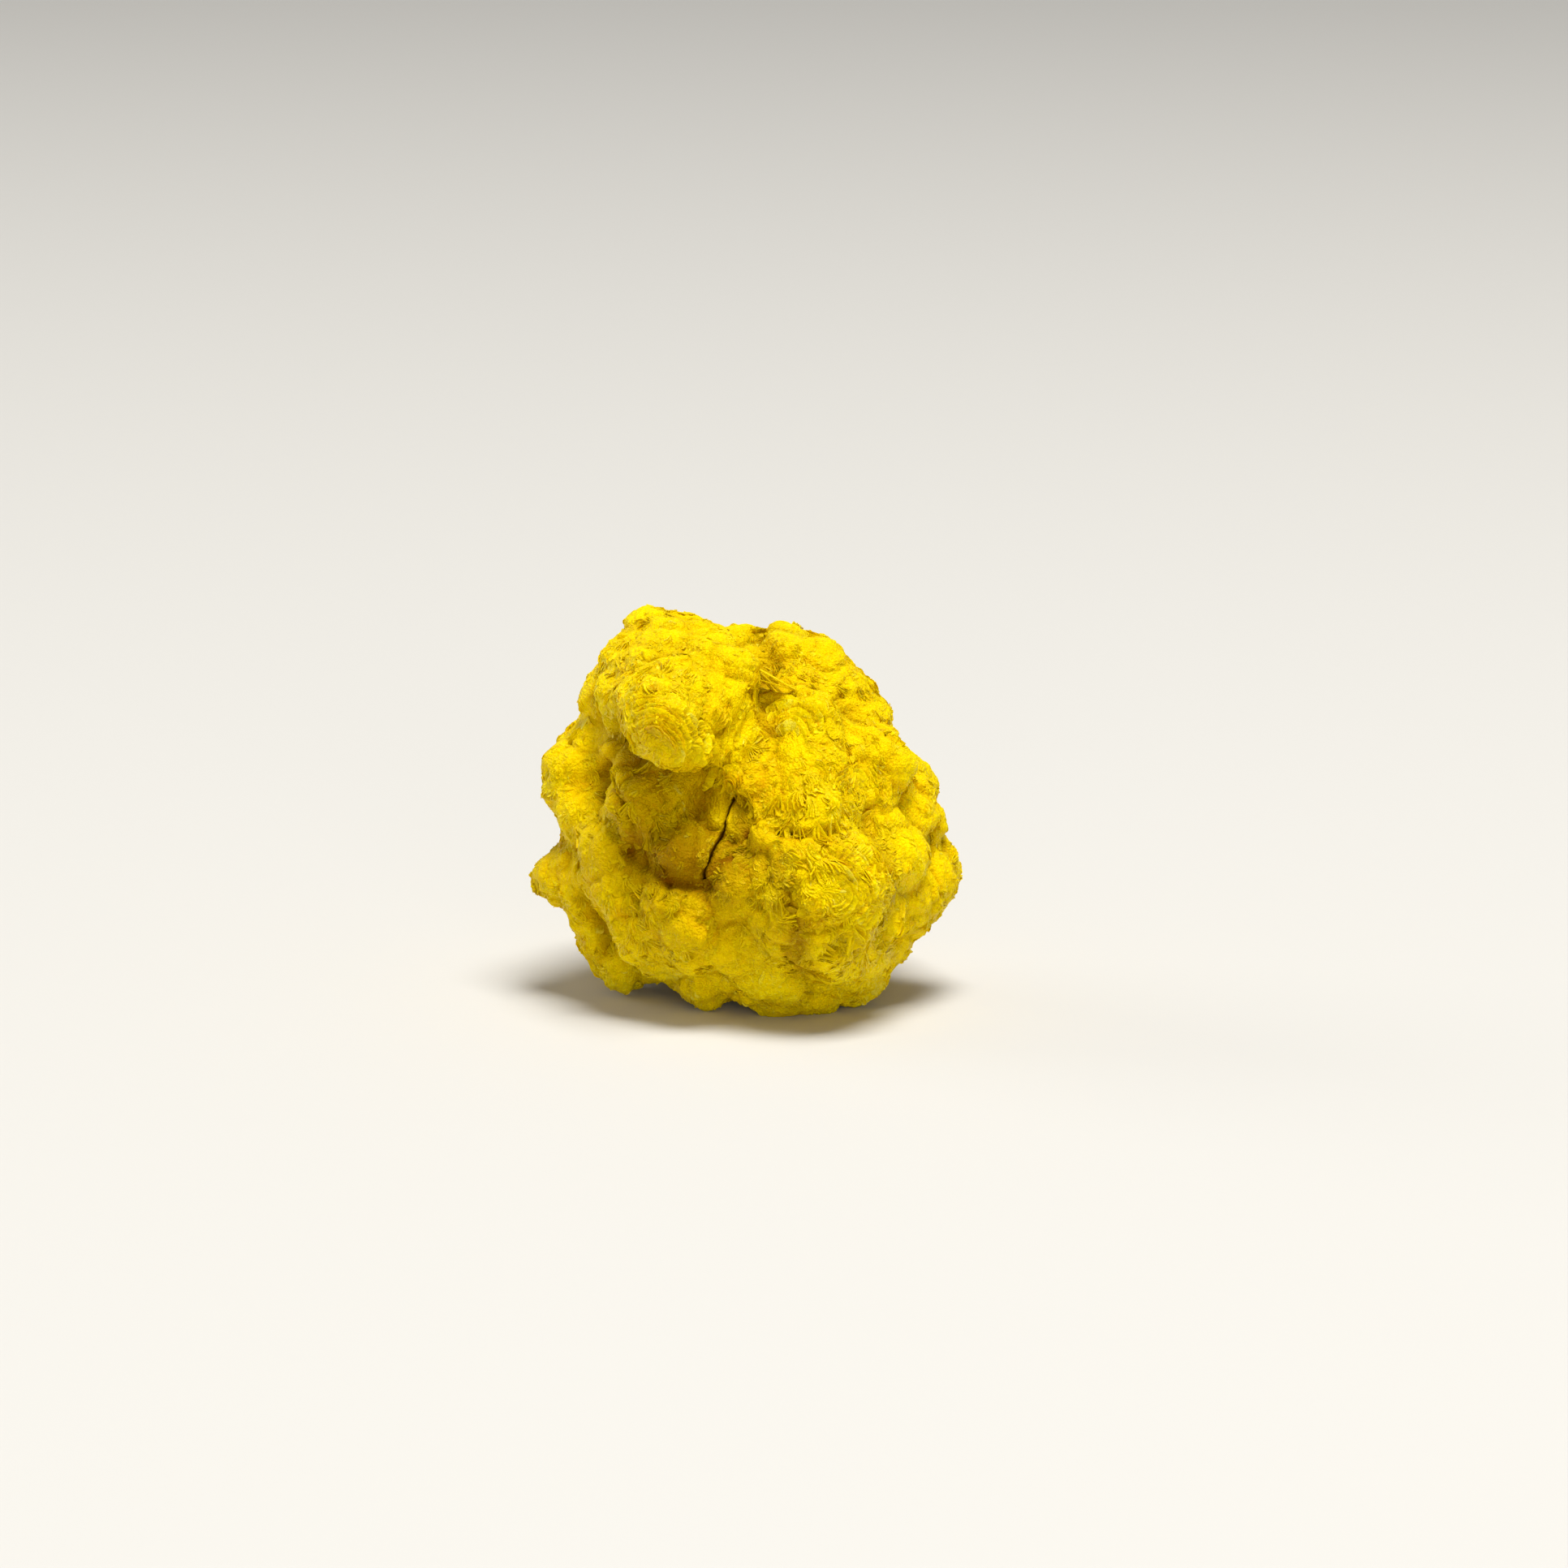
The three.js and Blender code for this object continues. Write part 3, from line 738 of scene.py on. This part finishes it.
# Fans seen plainly on the front: root across and up, way in degrees, length, spread in degrees
# and how proud of the mass.
FRONT_FANS = [
    (2.69, -1.72, 100, 0.75, 60, 0.06), (2.45, -1.50, 118, 0.60, 40, 0.06),
    (1.52, -0.88, -55, 0.55, 70, 0.06), (1.30, -0.95, -80, 0.45, 60, 0.05),
    (1.84, -0.56, -30, 0.26, 20, 0.07), (0.74, -0.82, -18, 0.42, 40, 0.05),
    (0.80, -1.10, 10, 0.40, 40, 0.05), (1.72, -2.40, -48, 0.80, 34, 0.07),
    (1.95, -2.20, -62, 0.85, 40, 0.07), (1.05, -3.02, -12, 0.90, 22, 0.05),
    (1.30, -2.85, -8, 0.70, 20, 0.05), (2.95, -1.62, -80, 0.60, 30, 0.06),
    (2.98, -2.05, -105, 0.60, 30, 0.06), (1.05, 0.42, -75, 0.55, 90, 0.06),
    (0.70, 0.30, -95, 0.45, 70, 0.06), (1.60, 0.30, -60, 0.50, 80, 0.06),
    (2.10, 0.20, -50, 0.45, 70, 0.05), (0.35, 0.15, -60, 0.40, 60, 0.05),
    (1.92, 0.45, 50, 0.45, 60, 0.06), (2.50, 0.15, 70, 0.35, 50, 0.05),
    (0.52, 2.85, -55, 0.60, 40, 0.06), (1.70, 2.45, -32, 0.32, 30, 0.05),
    (-1.65, 1.55, 90, 0.45, 50, 0.05), (-2.20, 2.45, 35, 0.50, 50, 0.06),
    (-1.55, 2.60, 55, 0.42, 50, 0.05), (-2.35, 2.05, 68, 0.45, 40, 0.06),
    (-0.62, 1.70, 62, 0.40, 50, 0.05), (-0.40, 0.50, 78, 0.36, 40, 0.05),
    (-2.72, 1.06, 12, 0.26, 40, 0.05), (-2.66, 0.62, 72, 0.26, 40, 0.05),
    (0.10, 1.30, 40, 0.40, 60, 0.05), (0.60, 1.60, 60, 0.45, 60, 0.05),
]
# Where they are broken small: across, up and radius.
CRUMBLY = [(0.85, -1.55, 0.35), (1.15, -2.05, 0.40), (0.95, -3.05, 0.35), (0.10, -0.25, 0.30)]

chance = 0.4 + coarseness(skin[usable], skin_normal[usable]) + 1.2 * nearness(skin[usable], CRUMBLY)
chance *= np.where(knob > 0.3, 0.45, 1.0)
root_site = rng.choice(usable, FANS, replace=False, p=chance / chance.sum())
front_fans = np.array(FRONT_FANS)
placed = slice(0, len(FRONT_FANS))
root_site[placed] = on_front(front_fans[:, :2], skin, skin_normal)
root, root_up = skin[root_site], skin_normal[root_site]
root_coarse = coarseness(root, root_up)
crumbly = nearness(root, CRUMBLY) > 0.45
turn = 0.8 * swell(root, 0.6, 71) + rng.normal(0, 0.3, FANS) + crumbly * rng.uniform(-3, 3, FANS)
fan_way = turned(grown[root_site], root_up, turn)
fan_length = np.exp(rng.normal(math.log(BLADE_LENGTH), SIZE_SPREAD, FANS)) * (1 + 0.5 * root_coarse)
fan_length *= np.where(crumbly, 0.45, 1)
fan_spread = rng.uniform(0.4, 1.3, FANS)
fan_proud = rng.uniform(*BLADE_PROUD, FANS) + 0.022 * root_coarse
way_angle = np.radians(front_fans[:, 2:3])
fan_way[placed] = along(np.cos(way_angle) * RIGHT + np.sin(way_angle) * UP, root_up[placed])
fan_length[placed], fan_spread[placed] = front_fans[:, 3], np.radians(front_fans[:, 4])
fan_proud[placed] = front_fans[:, 5]

fan = np.repeat(np.arange(FANS), BLADES)
place = np.tile(np.linspace(-0.5, 0.5, BLADES), FANS)
count = len(fan)
up = root_up[fan]
way = turned(fan_way[fan], up, place * fan_spread[fan] + rng.normal(0, 0.07, count))
side = np.cross(up, way)
length = fan_length[fan] * rng.uniform(0.55, 1.1, count) * (1 - 0.5 * place**2)
proud = fan_proud[fan] * rng.uniform(0.3, 1.4, count)
# Along a blade u runs from -1 to 1, and v from its rooted edge to its free edge. It bends sideways
# with u^2, its free edge is highest a little past its middle, and it leans over evenly with v.
u = np.linspace(-1, 1, BLADE_COLUMNS)[None, None, :]
gone = column(length) * (0.1 + 0.45 * (u + 1))
curve = column(rng.normal(0, 0.10, FANS)[fan] * length) * u**2 + column(0.10 * place * fan_length[fan])
foot = laid(vector(root[fan]) + vector(way) * gone[..., None] + vector(side) * curve[..., None])
ragged = rng.normal(0, 0.008, (count, BLADE_COLUMNS))[:, None, :]
lift = (column(proud) * (1 - 0.5 * u**2 + 0.4 * u) + ragged + ROOT_DEPTH) * v - ROOT_DEPTH
lean = np.sign(rng.normal(size=FANS)) * rng.uniform(0.03, 0.09, FANS)
leaning = column(lean[fan] + rng.normal(0, 0.012, count)) * v * (1 - 0.3 * u**2)
centre = foot + vector(up) * lift[..., None] + vector(side) * leaning[..., None]
thick = rng.uniform(*BLADE_HALF, count) * (1 + 1.4 * root_coarse[fan])
half = vector(side) * (column(thick) * (1 - 0.4 * v) + 0 * u)[..., None]
tint = np.clip(rng.normal(0.5, 0.12, count) + 0.08 * root_coarse[fan] - 0.2 * crumbly[fan], 0, 1)
# Painted highlight: the free edges of a few blades are painted pale.
painted_glint = np.where(rng.uniform(size=count) < PAINTED_GLINT_SHARE, PAINTED_GLINT, 0.0)
# Painted shade: each blade is painted browner towards its root, where the blades crowd.
depth = 0.1 + 0.12 * root_coarse[fan]
notes = {
    "tint": column(tint + pale[root_site][fan]) + column(painted_glint) * v + 0 * u,
    "painted_shade": np.clip(column(painted_shade[root_site][fan] * 0.8) + column(depth) * (1 - v) + 0 * u, 0, 1),
    "fibre": np.stack([gone + 0 * v, lift, np.broadcast_to(column(tint) * 90, lift.shape)], axis=-1),
}
part = (np.argsort(np.argsort(np.arctan2(root[:, 1], root[:, 0]))) * FAN_PARTS // FANS)[fan]
for number in range(FAN_PARTS):
    mine = (part == number) & clear_of_crack(foot)
    sheets(
        f"fans_{number + 1}",
        (centre + half)[mine],
        (centre - half)[mine],
        {name: grid[mine] for name, grid in notes.items()},
    )

# ---- Skins ----
# On the knob, the head and the cheek the plates are longest: broad bent sheets that lie one over
# another like the skins of an onion, wrapped round one side of a middle and ragged outwards.
# Each wrap: its middle across and up, its radii, its angles in degrees, and its count of skins.
WRAPS = [
    (-1.95, 1.00, 0.60, 1.50, -30, 110, 90),
    (-1.75, 2.30, 0.15, 0.70, 60, 215, 40),
    (1.41, -1.69, 0.60, 1.60, -40, 80, 80),
    (2.05, 0.30, 0.20, 0.60, 30, 160, 20),
    (-0.36, 0.30, 0.20, 0.55, 40, 120, 12),
    (0.80, 1.20, 0.50, 1.00, 20, 130, 24),
]
SKIN_COLUMNS = 12
# The skins gather in rings this far apart, and one that strays further than this is left out.
RING_GAP, SKIN_REACH = 0.09, 0.4
# How proud of the mass they stand, and half their thickness.
SKIN_PROUD, SKIN_HALF = (0.04, 0.09), (0.007, 0.014)

# A skin is an arc between two radii, and bow runs along it from 0 to 1. Its free edge ripples with
# the sine of five times the angle, is drawn in with the cube of the distance from the arc's middle
# to either end, and stands proud by a height that falls off with the square of that distance.
bow = np.linspace(0, 1, SKIN_COLUMNS)
flat, outwards = [], []
for across, up_there, inner, outer, low, high, skins in WRAPS:
    for reached in np.linspace(0, outer - inner, skins):
        radius = inner + RING_GAP * round(reached / RING_GAP) + rng.normal(0, 0.012)
        span = min(rng.uniform(0.35, 1.0) / radius, math.radians(high - low))
        start = math.radians(low) + rng.uniform() * (math.radians(high - low) - span)
        angle = start + span * bow
        spoke = np.stack([np.cos(angle), np.sin(angle)], axis=1)
        edge = radius + 0.03 * np.sin(angle * 5 + radius * 2) + rng.normal(0, 0.008, SKIN_COLUMNS)
        edge -= 0.1 * np.abs(2 * bow - 1) ** 3
        root = np.full(SKIN_COLUMNS, radius - rng.uniform(0.14, 0.26))
        flat.append([np.array([across, up_there]) + reach[:, None] * spoke for reach in (root, edge)])
        outwards.append(spoke)
flat, outwards = np.array(flat), np.array(outwards)
count = len(flat)
near_skin = on_front(flat.reshape(-1, 2), skin, skin_normal)
sight, _ = seen(skin[near_skin])
shift = flat.reshape(-1, 2) - sight
foot = laid(skin[near_skin] + shift[:, :1] * RIGHT + shift[:, 1:] * UP).reshape(count, 2, SKIN_COLUMNS, 3)
up = skin_normal[near_skin].reshape(count, 2, SKIN_COLUMNS, 3)
up = unit(0.25 * up + up.mean(axis=(1, 2), keepdims=True) + 0.4 * OUT)
proud = column(rng.uniform(*SKIN_PROUD, count)) * (1 - 0.5 * (2 * bow - 1)[None, None, :] ** 2)
lift = (proud + ROOT_DEPTH) * v - ROOT_DEPTH
centre = foot + up * lift[..., None]
half = up * (column(rng.uniform(*SKIN_HALF, count)) * (1 - 0.4 * v) + 0 * lift)[..., None]
tint = np.clip(rng.normal(0.52, 0.22, count), 0, 1)
# Painted highlight: the free edges of a few skins are painted pale.
painted_glint = np.where(rng.uniform(size=count) < 3 * PAINTED_GLINT_SHARE, PAINTED_GLINT / 2, 0.0)
notes = {
    "tint": column(tint) + column(painted_glint) * v + 0 * lift,
    # Painted shade: each skin is painted browner towards its root, under the skin above.
    "painted_shade": np.clip(0.45 * (1 - v) + 0 * lift, 0, 1),
    "fibre": np.stack([0.2 * v + 0 * lift, bow + 0 * lift, column(tint) * 90 + 0 * lift], axis=-1),
}
short = np.linalg.norm(foot[:, 1] - foot[:, 0], axis=2).max(axis=1) < SKIN_REACH
mine = clear_of_crack(foot) & short
sheets(
    "skins",
    (centre + half)[mine],
    (centre - half)[mine],
    {name: grid[mine] for name, grid in notes.items()},
)
